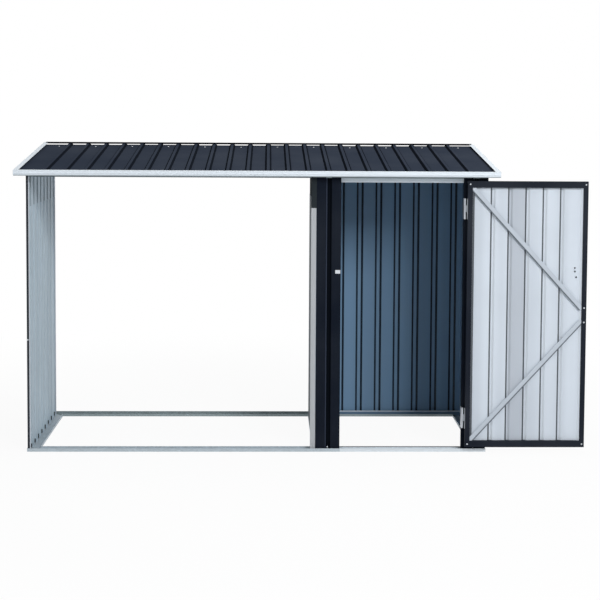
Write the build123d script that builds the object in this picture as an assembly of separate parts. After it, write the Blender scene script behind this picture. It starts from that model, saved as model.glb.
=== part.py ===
"""Steel log store: an open log bay beside a tool closet with one hinged door, under a single sloping roof.

Millimetres, +Z up, +Y to the back, +X to the right. The origin is on the ground, under the middle of
the front sill. The door is drawn shut and then swung open to where it rests.
"""
from build123d import *
import math
import os

# Sizes of the whole
body_width = 2343.0
body_depth = 880.0
eave_height = 1429.0
roof_slope = 7.0
side_overhang = 53.0
front_overhang = 43.0
rear_overhang = 45.0

# Gauges and clearances
sheet_gauge = 1.0
rail_gauge = 1.5
seat_gap = 0.2
lap_gap = 0.1

# Ribs of the walls
rib_pitch = 107.0
rib_base = 40.0
rib_top = 18.0
rib_height = 10.0
back_rib_shift = 8.0

# Ribs of the roof
roof_rib_pitch = 102.4
roof_rib_base = 33.0
roof_rib_top = 15.0
roof_rib_height = 10.0
roof_rib_count = 22
first_lap_rib = 3
ribs_per_sheet = 4

# Base channels
sill_width = 60.0
sill_flange = 17.0
sill_lip = 14.0

# Walls
divider_offset = 1455.0
gable_foot = 1250.0
wall_lap = 24.0
divider_flange = 25.0
corner_flange = 20.0
post_flange = 22.0

# Top rails
front_rail_height = 27.0
rail_depth = 38.0
rear_rail_height = 36.0
side_rail_width = 28.0
side_rail_height = 30.0
roof_bar_width = 36.0
roof_bar_height = 24.0

# Roof trims
trim_flange = 26.0
rake_trim_height = 27.0
fascia_height = 28.0
fascia_flange = 16.0
fascia_return = 12.0
fascia_bead = 3.0
fascia_bead_width = 8.0
rear_trim_width = 26.0
rear_trim_joint = 5.0

# Pillars and header
pillar_width = 124.0
pillar_flange = 20.0
groove_width = 32.0
groove_floor = 16.0
groove_depth = 10.0
header_height = 22.0
header_setback = 5.5
header_depth = 26.0
header_bearing = 40.0

# Door
door_foot = 32.0
door_head_gap = 10.0
hinge_side_gap = 8.0
latch_side_gap = 5.0
door_depth = 24.0
door_proud = 2.0
stile_width = 24.0
door_rail_height = 33.0
tube_wall = 1.2
door_rib_pitch = 88.0
door_rib_base = 26.0
door_rib_top = 8.0
door_rib_height = 8.0
door_bevel_run = 12.0
door_bevel_rise = 10.0
brace_width = 26.0
brace_thickness = 2.0
brace_recess = 3.0
brace_spread = 38.0
brace_inset = 7.0

# Hinges
hinge_height = 105.0
upper_hinge_inset = 142.0
lower_hinge_inset = 146.0
knuckle_radius = 4.5
pin_radius = 2.5
pin_clearance = 0.1
knuckle_gap = 0.5
hinge_leaf = 1.5
hinge_leaf_width = 20.0
pin_forward = 6.0

# Handle and keeper
latch_height = 925.0
keeper_width = 26.0
keeper_height = 18.0
keeper_thickness = 2.0
keeper_edge = 2.0
handle_edge = 62.0
handle_plate_width = 30.0
handle_plate_height = 118.0
handle_plate_thickness = 2.0
handle_reach = 30.0
handle_span = 84.0
handle_bar_radius = 4.5
handle_bend = 10.0

# Places that follow from the sizes
left = -body_width / 2
right = body_width / 2
front = -sill_width / 2
back = front + body_depth
wall_inset = rail_gauge + seat_gap + rib_height
lap_lift = sheet_gauge * math.hypot(rib_height, (rib_base - rib_top) / 2) / ((rib_base - rib_top) / 2) + lap_gap
roof_lift = (
    sheet_gauge * math.hypot(roof_rib_height, (roof_rib_base - roof_rib_top) / 2)
    / ((roof_rib_base - roof_rib_top) / 2) + lap_gap
)
left_wall_x = left + wall_inset
right_wall_x = right - wall_inset
divider_x = left + divider_offset + wall_inset
front_wall_y = front + wall_inset
back_wall_y = back - wall_inset
behind_front = front_wall_y + sheet_gauge + seat_gap
before_back = back_wall_y - sheet_gauge - seat_gap
gable_inner = sheet_gauge + lap_lift
side_length = back_wall_y - front_wall_y
right_length = back_wall_y - behind_front

pillar_left_x = divider_x + gable_inner + seat_gap
doorway_left = pillar_left_x + pillar_width
pillar_right_x = right - rail_gauge - seat_gap
doorway_right = pillar_right_x - pillar_width
front_rail_foot = eave_height - front_rail_height
header_foot = front_rail_foot - header_height
door_head = front_rail_foot - door_head_gap
leaf_left = doorway_left + latch_side_gap
leaf_right = doorway_right - hinge_side_gap
leaf_width = leaf_right - leaf_left
leaf_height = door_head - door_foot
leaf_front = front - door_proud
leaf_back = leaf_front + door_depth
upper_hinge_middle = door_head - upper_hinge_inset
lower_hinge_middle = door_foot + lower_hinge_inset
pin_x = doorway_right - hinge_leaf + knuckle_radius
pin_y = front - pin_forward

slope_sin = math.sin(math.radians(roof_slope))
slope_cos = math.cos(math.radians(roof_slope))
slope_tan = math.tan(math.radians(roof_slope))
roof_front_y = front - front_overhang
roof_length = (body_depth + front_overhang + rear_overhang) / slope_cos
roof_half = body_width / 2 + side_overhang
sheet_half = roof_half - sheet_gauge - seat_gap
rib_crown = sheet_gauge + roof_rib_height + roof_lift


def roof_underside(y):
    """Height of the flat of the roof sheets, on their lower side."""
    return eave_height + (y - front) * slope_tan


roof_place = Location((0, roof_front_y, roof_underside(roof_front_y)), (roof_slope, 0, 0))
rear_rail_foot = roof_underside(before_back - rail_depth) - rear_rail_height


# Folded sheet
def folded_outline(line, gauge):
    """Closed outline of a folded sheet: its outer line, and the parallel one gauge to the right."""
    points = [Vector(*point) for point in line]
    inner = []
    for index, point in enumerate(points):
        before = points[max(index - 1, 0)]
        after = points[min(index + 1, len(points) - 1)]
        first = (point - before if index else after - point).normalized()
        second = (after - point if index < len(points) - 1 else first).normalized()
        first_side = Vector(first.Y, -first.X)
        second_side = Vector(second.Y, -second.X)
        mitre = (first_side + second_side) * (gauge / (1 + first_side.dot(second_side)))
        inner.append(point + mitre)
    return points + inner[::-1]


def folded(line, gauge, length):
    """A sheet folded along a line in plan and drawn up to its length."""
    return extrude(make_face(Polyline(*folded_outline(line, gauge), close=True)), amount=length, dir=(0, 0, 1))


def lengthwise(line, gauge, start, end):
    """A rail along X, folded along a line that is given as (y, z)."""
    section = Plane.YZ * make_face(Polyline(*folded_outline(line, gauge), close=True))
    return Pos(start, 0, 0) * extrude(section, amount=end - start, dir=(1, 0, 0))


def ribs(centres, base, top, height, level=0.0):
    """Points of raised ribs at the given centres, above a level."""
    points = []
    for centre in centres:
        points += [
            (centre - base / 2, level),
            (centre - top / 2, level + height),
            (centre + top / 2, level + height),
            (centre + base / 2, level),
        ]
    return points


def spread(length, pitch, count):
    """Centres of a row of ribs, in the middle of a length."""
    first = (length - pitch * (count - 1)) / 2
    return [first + pitch * index for index in range(count)]


def wall_line(length, shift=0.0):
    """Outer line of a ribbed wall sheet: its outside is +Y, and it starts at x = 0."""
    centres = [x + shift for x in spread(length, rib_pitch, round(length / rib_pitch))]
    return [(0, 0)] + ribs(centres, rib_base, rib_top, rib_height) + [(length, 0)]


def stand(x, y, heading):
    """Place of an upright piece that starts at a point and runs in a direction in plan."""
    return Location((x, y, rail_gauge), (0, 0, heading))


def under_roof(solid, drop):
    """The part of a solid that lies lower than the roof sheets, by a drop square to them."""
    edge = Plane(roof_place * Pos(0, 0, -drop))
    return split(solid, edge, keep=Keep.BOTTOM)


# Base channels
def sill_section(length):
    """A base channel along X: its outer flange is at y = 0, and it lies on the ground, open to the top."""
    line = [(sill_width, sill_lip), (sill_width, 0), (0, 0), (0, sill_flange)]
    return lengthwise(line, rail_gauge, 0, length)


def mitred_sill(length):
    """A base channel cut at 45 degrees at both ends."""
    bar = split(sill_section(length), Plane((0, 0, 0), z_dir=(1, -1, 0)), keep=Keep.TOP)
    return split(bar, Plane((length, 0, 0), z_dir=(-1, -1, 0)), keep=Keep.TOP)


def crossed_sill(x_low, outer_y, inner_y):
    """Room in a sill's lip for the divider's channel and wall to run in."""
    room = Box(sill_width, abs(inner_y - outer_y), sill_flange, align=(Align.MIN, Align.MIN, Align.MIN))
    return Pos(x_low, min(outer_y, inner_y), rail_gauge) * room


def make_front_sill():
    bar = Pos(left, front, 0) * mitred_sill(body_width)
    lip = front + sill_width
    return bar - crossed_sill(left + divider_offset, lip - 2 * rail_gauge, lip + rail_gauge)


def make_rear_sill():
    bar = Location((right, back, 0), (0, 0, 180)) * mitred_sill(body_width)
    lip = back - sill_width
    return bar - crossed_sill(left + divider_offset, lip - rail_gauge, lip + 2 * rail_gauge)


def make_left_sill():
    return Location((left, back, 0), (0, 0, -90)) * mitred_sill(body_depth)


def make_right_sill():
    return Location((right, front, 0), (0, 0, 90)) * mitred_sill(body_depth)


def make_divider_sill():
    length = body_depth - 2 * sill_width
    return Location((left + divider_offset, back - sill_width, 0), (0, 0, -90)) * sill_section(length)


# Walls
def side_wall(x, y, heading, line):
    """The lower sheet of a side wall, which stands in its channel."""
    return stand(x, y, heading) * folded(line, sheet_gauge, gable_foot + wall_lap - rail_gauge)


def side_gable(x, y, heading, line):
    """The upper sheet of a side wall: it laps inside the lower one and is cut to the roof's slope."""
    height = roof_underside(back) - gable_foot
    sheet = Pos(0, -lap_lift, gable_foot - rail_gauge) * folded(line, sheet_gauge, height)
    return under_roof(stand(x, y, heading) * sheet, seat_gap)


def make_left_wall():
    return side_wall(left_wall_x, front_wall_y, 90, wall_line(side_length))


def make_left_gable():
    return side_gable(left_wall_x, front_wall_y, 90, wall_line(side_length))


def make_divider_wall():
    """The divider's lower sheet, with its front edge folded towards the bay beside the pillar."""
    line = [(0, divider_flange)] + wall_line(side_length)
    return side_wall(divider_x, front_wall_y, 90, line)


def make_divider_gable():
    """The divider's upper sheet. Its folded edge laps in front of the lower one's, and it is notched round
    the rails that pass it."""
    step = sheet_gauge + seat_gap
    line = [(-step, divider_flange + lap_lift), (-step, 0)] + wall_line(side_length)[1:]
    gable = side_gable(divider_x, front_wall_y, 90, line)
    span = 2 * (rib_height + gable_inner)
    front_room = Box(span, rail_depth + 2 * seat_gap, body_depth, align=(Align.CENTER, Align.MIN, Align.MIN))
    gable -= Pos(divider_x, behind_front - seat_gap, front_rail_foot - seat_gap) * front_room
    rear_reach = wall_inset + rail_depth + 2 * seat_gap
    rear_room = Box(span, rear_reach, body_depth, align=(Align.CENTER, Align.MAX, Align.MIN))
    return gable - Pos(divider_x, back - sheet_gauge, rear_rail_foot - seat_gap) * rear_room


def make_right_wall():
    return side_wall(right_wall_x, back_wall_y, -90, wall_line(right_length))


def make_right_gable():
    return side_gable(right_wall_x, back_wall_y, -90, wall_line(right_length))


def make_back_wall():
    """The closet's back wall, with its ends folded forward inside the side walls."""
    start = divider_x + gable_inner + seat_gap
    length = right_wall_x - gable_inner - seat_gap - start
    line = [(0, -corner_flange)] + wall_line(length, back_rib_shift) + [(length, -corner_flange)]
    height = roof_underside(back_wall_y - corner_flange) - rail_gauge - 2 * seat_gap
    sheet = folded(line, sheet_gauge, height)
    rail_room = Box(length, corner_flange + seat_gap, rear_rail_height * 2, align=(Align.MIN, Align.MAX, Align.MIN))
    sheet -= Pos(0, -sheet_gauge, rear_rail_foot - rail_gauge - seat_gap) * rail_room
    return stand(start, back_wall_y, 0) * sheet


def edge_post(y, reach):
    """A folded cap on a free edge of the left wall, as deep as the ribs. Its flanges reach along the wall."""
    inner = gable_inner + seat_gap + sheet_gauge
    line = [(reach, -inner), (0, -inner), (0, rib_height), (reach, rib_height)]
    cap = folded(line if reach > 0 else line[::-1], sheet_gauge, roof_underside(back) - rail_gauge)
    return under_roof(stand(left_wall_x, y, 90) * cap, seat_gap)


def make_left_front_post():
    return edge_post(front_wall_y - sheet_gauge - seat_gap, post_flange)


def make_left_rear_post():
    return edge_post(back_wall_y + sheet_gauge + seat_gap, -post_flange)


# Pillars and header
def pillar(x, y):
    """A folded front panel with one groove. It ends at x and runs to the left. What is folded back stops
    where the header and the front rail pass behind the panel."""
    line = [(0, -pillar_flange), (0, 0)] + ribs([pillar_width / 2], groove_width, groove_floor, -groove_depth)
    line += [(pillar_width, 0), (pillar_width, -pillar_flange)]
    height = roof_underside(front) - rail_gauge - seat_gap
    panel = stand(x, y, 180) * folded(line, sheet_gauge, height)
    room = Box(pillar_width, pillar_flange, height, align=(Align.MAX, Align.MIN, Align.MIN))
    panel -= Pos(x, y + groove_depth + 2 * sheet_gauge, header_foot - seat_gap) * room
    return panel - Pos(x, y + sheet_gauge, front_rail_foot - seat_gap) * room


def make_centre_pillar():
    return pillar(doorway_left, front_wall_y)


def make_right_pillar():
    return pillar(pillar_right_x, front_wall_y)


def make_door_header():
    """A light channel over the doorway. It hangs under the front rail, just behind the head of the door."""
    y = leaf_back + header_setback
    low = header_foot
    high = front_rail_foot - seat_gap
    line = [(y + header_depth, high), (y, high), (y, low), (y + header_depth, low)]
    start = doorway_left - header_bearing
    return lengthwise(line[::-1], rail_gauge, start, doorway_right + header_bearing)


# Top rails
def make_front_top_rail():
    """The front rail: its top follows the roof's slope."""
    y = behind_front
    inner_y = y + rail_depth
    line = [
        (inner_y, front_rail_foot),
        (y, front_rail_foot),
        (y, roof_underside(y) - seat_gap),
        (inner_y, roof_underside(inner_y) - seat_gap),
    ]
    start = left_wall_x + gable_inner + 2 * seat_gap + sheet_gauge
    return lengthwise(line, rail_gauge, start, right_wall_x - gable_inner - seat_gap)


def make_rear_top_rail():
    """The rear rail, which the roof bears on over the bay and the closet."""
    y = before_back - rail_depth
    line = [
        (y, roof_underside(y) - seat_gap),
        (before_back, roof_underside(before_back) - seat_gap),
        (before_back, rear_rail_foot),
        (y, rear_rail_foot),
    ]
    start = left_wall_x + gable_inner + 2 * seat_gap + sheet_gauge
    return lengthwise(line, rail_gauge, start, right_wall_x - gable_inner - seat_gap)


def sloping_rail(x, side):
    """An angle under the roof along a side wall, between the front and rear rails."""
    start = behind_front + rail_depth + seat_gap
    end = before_back - rail_depth - seat_gap - side_rail_height * slope_sin
    length = (end - start) / slope_cos
    line = [(x, -side_rail_height), (x, 0), (x + side * side_rail_width, 0)]
    bar = Rot(90, 0, 0) * folded(line if side > 0 else line[::-1], rail_gauge, length)
    return roof_place * (Pos(0, (end - roof_front_y) / slope_cos, -seat_gap) * bar)


def make_left_top_rail():
    return sloping_rail(left_wall_x + gable_inner + seat_gap, 1)


def make_divider_top_rail():
    return sloping_rail(divider_x + gable_inner + seat_gap, 1)


def make_right_top_rail():
    return sloping_rail(right_wall_x - gable_inner - seat_gap, -1)


def make_middle_roof_rail():
    """A bar across the log bay under the middle of the roof."""
    start = left_wall_x + gable_inner + 2 * seat_gap + side_rail_width
    end = divider_x + lap_lift - rib_height - seat_gap
    middle = roof_length / 2
    line = [
        (middle - roof_bar_width / 2, -roof_bar_height),
        (middle - roof_bar_width / 2, -seat_gap),
        (middle + roof_bar_width / 2, -seat_gap),
        (middle + roof_bar_width / 2, -roof_bar_height),
    ]
    return roof_place * lengthwise(line, rail_gauge, start, end)


# Roof
rib_centres = [x - sheet_half for x in spread(2 * sheet_half, roof_rib_pitch, roof_rib_count)]
lap_ribs = list(range(first_lap_rib, roof_rib_count - 1, ribs_per_sheet))
sheet_count = len(lap_ribs) + 1


def roof_sheet(index):
    """One ribbed roof sheet. Every second sheet laps over its neighbours' last ribs."""
    first = 0 if index == 0 else lap_ribs[index - 1]
    last = roof_rib_count - 1 if index == sheet_count - 1 else lap_ribs[index]
    low = -sheet_half if index == 0 else rib_centres[first] - roof_rib_base / 2
    high = sheet_half if index == sheet_count - 1 else rib_centres[last] + roof_rib_base / 2
    level = sheet_gauge + (roof_lift if index % 2 else 0)
    raised = ribs(rib_centres[first:last + 1], roof_rib_base, roof_rib_top, roof_rib_height, level)
    starts_flat = [(low, level)] if index == 0 else []
    ends_flat = [(high, level)] if index == sheet_count - 1 else []
    sheet = folded(starts_flat + raised + ends_flat, sheet_gauge, roof_length)
    return roof_place * (Pos(0, roof_length, 0) * Rot(90, 0, 0) * sheet)


def make_front_fascia():
    """The trim over the front ends of the roof sheets, with a shallow bead along it."""
    top = rib_crown + seat_gap + sheet_gauge
    face = -sheet_gauge - seat_gap
    foot = top - fascia_height
    middle = top - fascia_height / 2
    line = [
        (face + fascia_return, foot),
        (face, foot),
        (face, middle - fascia_bead_width / 2),
        (face - fascia_bead, middle),
        (face, middle + fascia_bead_width / 2),
        (face, top),
        (face + fascia_flange, top),
    ]
    return roof_place * lengthwise(line, sheet_gauge, -sheet_half, sheet_half)


def rake_trim(x, side):
    """The trim along one side of the roof: a flange over the sheet and a face down its edge."""
    top = rib_crown + 2 * seat_gap + 2 * sheet_gauge
    line = [(x, top - rake_trim_height), (x, top), (x - side * trim_flange, top)]
    length = roof_length + sheet_gauge + 2 * seat_gap
    bar = folded(line if side < 0 else line[::-1], sheet_gauge, length)
    return roof_place * (Pos(0, roof_length + seat_gap, 0) * Rot(90, 0, 0) * bar)


def make_left_rake_trim():
    return rake_trim(-roof_half, -1)


def make_right_rake_trim():
    return rake_trim(roof_half, 1)


def make_rear_trim():
    """A flat strip on the crowns of the ribs along the rear edge, in two lengths."""
    length = sheet_half - rear_trim_joint / 2
    strip = Box(length, rear_trim_width, sheet_gauge, align=(Align.MIN, Align.MAX, Align.MIN))
    level = rib_crown + seat_gap
    pieces = Pos(-sheet_half, roof_length, level) * strip
    pieces += Pos(rear_trim_joint / 2, roof_length, level) * strip
    return roof_place * pieces


# Door, drawn shut
def tube(width, depth, height):
    """An upright rectangular tube, from its lower front left corner."""
    section = Rectangle(width, depth) - Rectangle(width - 2 * tube_wall, depth - 2 * tube_wall)
    return Pos(width / 2, depth / 2, 0) * extrude(section, amount=height)


def swing_open(piece):
    """Turns a door piece from shut to where it rests, half a turn about the hinge pins."""
    return Location((pin_x, pin_y, 0), (0, 0, 180)) * (Pos(-pin_x, -pin_y, 0) * piece)


def make_door_hinge_stile():
    return Pos(leaf_right - stile_width, leaf_front, door_foot) * tube(stile_width, door_depth, leaf_height)


def make_door_free_stile():
    return Pos(leaf_left, leaf_front, door_foot) * tube(stile_width, door_depth, leaf_height)


def door_rail(z):
    """A rail between the stiles, whose lower side is at a height."""
    bar = tube(door_rail_height, door_depth, leaf_width - 2 * stile_width)
    return Pos(leaf_left + stile_width, leaf_front, z + door_rail_height) * Rot(0, 90, 0) * bar


def make_door_top_rail():
    return door_rail(door_head - door_rail_height)


def make_door_bottom_rail():
    return door_rail(door_foot)


def make_door_panel():
    """The ribbed door sheet, with sloping edges that rise to the frame on both sides."""
    width = leaf_width - 2 * stile_width - 2 * seat_gap
    height = leaf_height - 2 * door_rail_height - 2 * seat_gap
    centres = spread(width, door_rib_pitch, round(width / door_rib_pitch) - 1)
    line = [(0, -door_bevel_rise), (door_bevel_run, 0)]
    line += ribs(centres, door_rib_base, door_rib_top, door_rib_height)
    line += [(width - door_bevel_run, 0), (width, -door_bevel_rise)]
    x = leaf_right - stile_width - seat_gap
    z = door_foot + door_rail_height + seat_gap
    return Location((x, leaf_front + door_rib_height, z), (0, 0, 180)) * folded(line, sheet_gauge, height)


def brace(side):
    """A flat bar between the stiles, from a corner of the frame at the hinges to the middle of the free
    stile. It runs under the stiles' edges, where it is cut, and lies a little deeper than the frame."""
    frame_half = leaf_height / 2 - door_rail_height
    corner = (leaf_right - stile_width, side * frame_half)
    free_end = (leaf_left + stile_width + brace_inset, side * brace_spread)
    run = corner[0] - free_end[0]
    rise = corner[1] - free_end[1]
    length = math.hypot(run, rise)
    section = Rot(0, 0, math.degrees(math.atan2(rise, run))) * SlotCenterToCenter(length, brace_width)
    bar = extrude(Plane.XZ * section, amount=brace_thickness)
    opening = Box(leaf_width - 2 * stile_width - 2 * seat_gap, 3 * brace_thickness, 2 * frame_half - 2 * seat_gap)
    middle = Pos((corner[0] + free_end[0]) / 2, 0, (corner[1] + free_end[1]) / 2)
    cut = (middle * bar) & (Pos((leaf_left + leaf_right) / 2, 0, 0) * opening)
    return Pos(0, leaf_back - brace_recess, (door_foot + door_head) / 2) * cut


def make_door_upper_brace():
    return brace(1)


def make_door_lower_brace():
    return brace(-1)


# Hinges
knuckle_length = hinge_height / 3


def hinge_plate(x, depth, middle):
    """A flat leaf whose lower x face is given, from the pin's line towards the back."""
    plate = Box(hinge_leaf, depth, hinge_height, align=(Align.MIN, Align.MIN, Align.CENTER))
    return Pos(x, pin_y, middle) * plate


def pillar_leaf(middle):
    """The leaf on the pillar, with the outer knuckles and the pin."""
    cut = Pos(pin_x, pin_y, middle) * Cylinder(knuckle_radius + 2 * knuckle_gap, knuckle_length)
    leaf = hinge_plate(doorway_right - hinge_leaf, front_wall_y - pin_y + hinge_leaf_width, middle)
    leaf -= cut
    for side in (-1, 1):
        knuckle = Cylinder(knuckle_radius, knuckle_length - knuckle_gap)
        leaf += Pos(pin_x, pin_y, middle + side * (knuckle_length + knuckle_gap / 2)) * knuckle
    leaf += Pos(pin_x, pin_y, middle) * Cylinder(pin_radius, hinge_height)
    return leaf


def door_leaf(middle):
    """The leaf on the door's edge, joined to the middle knuckle by a strap in front of the pillar."""
    height = knuckle_length - knuckle_gap
    plate = hinge_plate(leaf_right, leaf_front - pin_y + hinge_leaf_width, middle)
    plate += Pos(leaf_right, pin_y - knuckle_radius, middle) * Box(
        hinge_leaf, knuckle_radius, height, align=(Align.MIN, Align.MIN, Align.CENTER)
    )
    strap = Box(pin_x - leaf_right, hinge_leaf, height, align=(Align.MIN, Align.MIN, Align.CENTER))
    plate += Pos(leaf_right, pin_y - knuckle_radius, middle) * strap
    plate += Pos(pin_x, pin_y, middle) * Cylinder(knuckle_radius, height)
    plate -= Pos(pin_x, pin_y, middle) * Cylinder(pin_radius + pin_clearance, hinge_height)
    return plate


# Handle and keeper
def make_keeper_plate():
    """A small plate on the centre pillar, where the latch closes."""
    plate = Box(keeper_width, keeper_thickness, keeper_height, align=(Align.MAX, Align.MAX, Align.CENTER))
    return Pos(doorway_left - keeper_edge, front_wall_y, latch_height) * plate


def make_door_handle():
    """A bowed pull on a plate, on the outside of the door near its free edge."""
    seat = leaf_front + door_rib_height
    plate = Box(
        handle_plate_width, handle_plate_thickness, handle_plate_height, align=(Align.CENTER, Align.MAX, Align.CENTER)
    )
    half = handle_span / 2
    path = FilletPolyline(
        (0, -handle_plate_thickness / 2, half),
        (0, -handle_reach, half),
        (0, -handle_reach, -half),
        (0, -handle_plate_thickness / 2, -half),
        radius=handle_bend,
    )
    start = Plane((0, -handle_plate_thickness / 2, half), z_dir=(0, -1, 0))
    pull = plate + sweep(start * Circle(handle_bar_radius), path=path)
    return Pos(leaf_left + handle_edge, seat, latch_height) * pull


# Every piece by name
fixed_pieces = {
    "front_sill": make_front_sill(),
    "rear_sill": make_rear_sill(),
    "left_sill": make_left_sill(),
    "right_sill": make_right_sill(),
    "divider_sill": make_divider_sill(),
    "left_wall": make_left_wall(),
    "left_gable": make_left_gable(),
    "divider_wall": make_divider_wall(),
    "divider_gable": make_divider_gable(),
    "right_wall": make_right_wall(),
    "right_gable": make_right_gable(),
    "back_wall": make_back_wall(),
    "left_front_post": make_left_front_post(),
    "left_rear_post": make_left_rear_post(),
    "centre_pillar": make_centre_pillar(),
    "right_pillar": make_right_pillar(),
    "door_header": make_door_header(),
    "front_top_rail": make_front_top_rail(),
    "rear_top_rail": make_rear_top_rail(),
    "middle_roof_rail": make_middle_roof_rail(),
    "left_top_rail": make_left_top_rail(),
    "divider_top_rail": make_divider_top_rail(),
    "right_top_rail": make_right_top_rail(),
    "front_fascia": make_front_fascia(),
    "left_rake_trim": make_left_rake_trim(),
    "right_rake_trim": make_right_rake_trim(),
    "rear_trim": make_rear_trim(),
    "keeper_plate": make_keeper_plate(),
    "upper_hinge_pillar_leaf": pillar_leaf(upper_hinge_middle),
    "lower_hinge_pillar_leaf": pillar_leaf(lower_hinge_middle),
}
for number in range(sheet_count):
    fixed_pieces[f"roof_sheet_{number + 1}"] = roof_sheet(number)

door_pieces = {
    "door_hinge_stile": make_door_hinge_stile(),
    "door_free_stile": make_door_free_stile(),
    "door_top_rail": make_door_top_rail(),
    "door_bottom_rail": make_door_bottom_rail(),
    "door_panel": make_door_panel(),
    "door_upper_brace": make_door_upper_brace(),
    "door_lower_brace": make_door_lower_brace(),
    "door_handle": make_door_handle(),
    "upper_hinge_door_leaf": door_leaf(upper_hinge_middle),
    "lower_hinge_door_leaf": door_leaf(lower_hinge_middle),
}

os.makedirs("parts", exist_ok=True)
for name, piece in fixed_pieces.items():
    export_step(piece, f"parts/{name}.step")
for name, piece in door_pieces.items():
    export_step(swing_open(piece), f"parts/{name}.step")
print("hinge pin at", round(pin_x, 3), round(pin_y, 3))
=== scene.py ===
"""Looks of a steel log store: coats and bare metal for its sheets and channels, its screws, nuts and thin
trim, and a plain studio. Everything is in metres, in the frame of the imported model."""
import math

import bpy
from bpy.props import FloatProperty, FloatVectorProperty, PointerProperty
from mathutils import Matrix, Vector


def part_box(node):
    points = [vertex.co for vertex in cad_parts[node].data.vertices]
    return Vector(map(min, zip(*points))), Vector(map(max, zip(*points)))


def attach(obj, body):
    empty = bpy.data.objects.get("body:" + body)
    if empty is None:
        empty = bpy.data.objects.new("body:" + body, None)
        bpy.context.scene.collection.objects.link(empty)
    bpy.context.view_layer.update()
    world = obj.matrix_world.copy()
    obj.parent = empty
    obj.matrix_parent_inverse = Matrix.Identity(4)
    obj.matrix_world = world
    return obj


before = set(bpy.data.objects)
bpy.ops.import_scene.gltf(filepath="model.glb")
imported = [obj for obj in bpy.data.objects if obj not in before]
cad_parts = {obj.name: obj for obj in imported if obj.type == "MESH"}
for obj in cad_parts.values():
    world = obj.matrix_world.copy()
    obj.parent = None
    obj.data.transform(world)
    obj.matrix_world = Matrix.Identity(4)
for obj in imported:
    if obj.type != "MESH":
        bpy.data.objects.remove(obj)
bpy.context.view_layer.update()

bl_info = {
    "name": "Steel log store",
    "version": (1, 0, 0),
    "blender": (4, 5, 0),
    "location": "3D View > Sidebar > Log store",
    "description": "Coats, fixings and studio for a log store of ribbed steel sheet",
    "category": "Object",
}

X = Vector((1, 0, 0))
Y = Vector((0, 1, 0))
Z = Vector((0, 0, 1))
MILLIMETRE = 0.001


def screen(red, green, blue):
    """A colour as it shows on a screen, from 0 to 255, as the linear colour that a shader takes."""
    shares = [value / 255 for value in (red, green, blue)]
    return tuple(s / 12.92 if s <= 0.04045 else ((s + 0.055) / 1.055) ** 2.4 for s in shares)


def colour(name, description, default):
    """A colour that a user can change."""
    return FloatVectorProperty(
        name=name, description=description, default=default, subtype="COLOR", size=3, min=0, max=1
    )


def length(name, description, default):
    """A length that a user can change."""
    return FloatProperty(name=name, description=description, default=default, unit="LENGTH", min=0)


def lamp_power(name, description, default):
    """A lamp's power that a user can change."""
    return FloatProperty(name=name, description=description, default=default, unit="POWER", min=0)


def view_angle(name, description, default):
    """An angle of the camera that a user can change."""
    return FloatProperty(name=name, description=description, default=default, subtype="ANGLE")


# What a user would change
class StoreColours(bpy.types.PropertyGroup):
    """Colours of the coats and the bare metal."""
    anthracite: colour("Anthracite coat", "Outside of the walls and of the door", screen(52, 59, 71))
    roof: colour("Roof coat", "Top of the roof sheets", screen(54, 61, 74))
    strip: colour("Strip coat", "Strip along the roof's rear edge, with its hem", screen(12, 15, 20))
    pale: colour("Pale coat", "Inside of the door, underside of the roof, and posts", screen(212, 221, 231))
    bay: colour("Bay coat", "Inside of the left wall", screen(196, 214, 226))
    # The divider's grey is the pale coat darkened: painted shade from the grazing light on the divider wall
    divider: colour("Divider coat", "Both faces of the divider wall", screen(178, 182, 186))
    divider_dark: colour("Upper divider coat", "Both faces of the divider's gable", screen(36, 42, 46))
    # The closet's blue-grey is the pale coat darkened and made bluer: painted shade inside the closet
    closet: colour("Closet coat", "Inside of the closet", screen(118, 152, 183))
    frame_black: colour("Frame coat", "Pillars, posts and the door's frame", screen(19, 25, 36))
    trim_white: colour("White trim", "Fascia and side trims of the roof", screen(226, 235, 243))
    galvanised: colour("Galvanised steel", "Base channels", screen(186, 198, 206))
    dull_galvanised: colour("Dull galvanised steel", "Rear channel and roof rails", screen(150, 163, 166))
    header_white: colour("Header coat", "Channel over the doorway", screen(230, 241, 250))
    rail_grey: colour("Front rail", "Rail along the front, under the roof", screen(112, 125, 129))
    brace: colour("Brace coat", "Braces of the door", screen(190, 199, 209))
    zinc: colour("Zinc plate", "Hinges, keeper and screws", screen(206, 211, 217))
    dark_steel: colour("Dark steel", "Nuts of the latch", screen(58, 62, 70))
    handle_black: colour("Handle coat", "Handle of the door", screen(24, 25, 28))
    washer_black: colour("Washer", "Soft washers under the roof's screws", screen(26, 27, 30))
    dust: colour("Dust", "What settles on every coat", screen(150, 156, 163))


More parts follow.
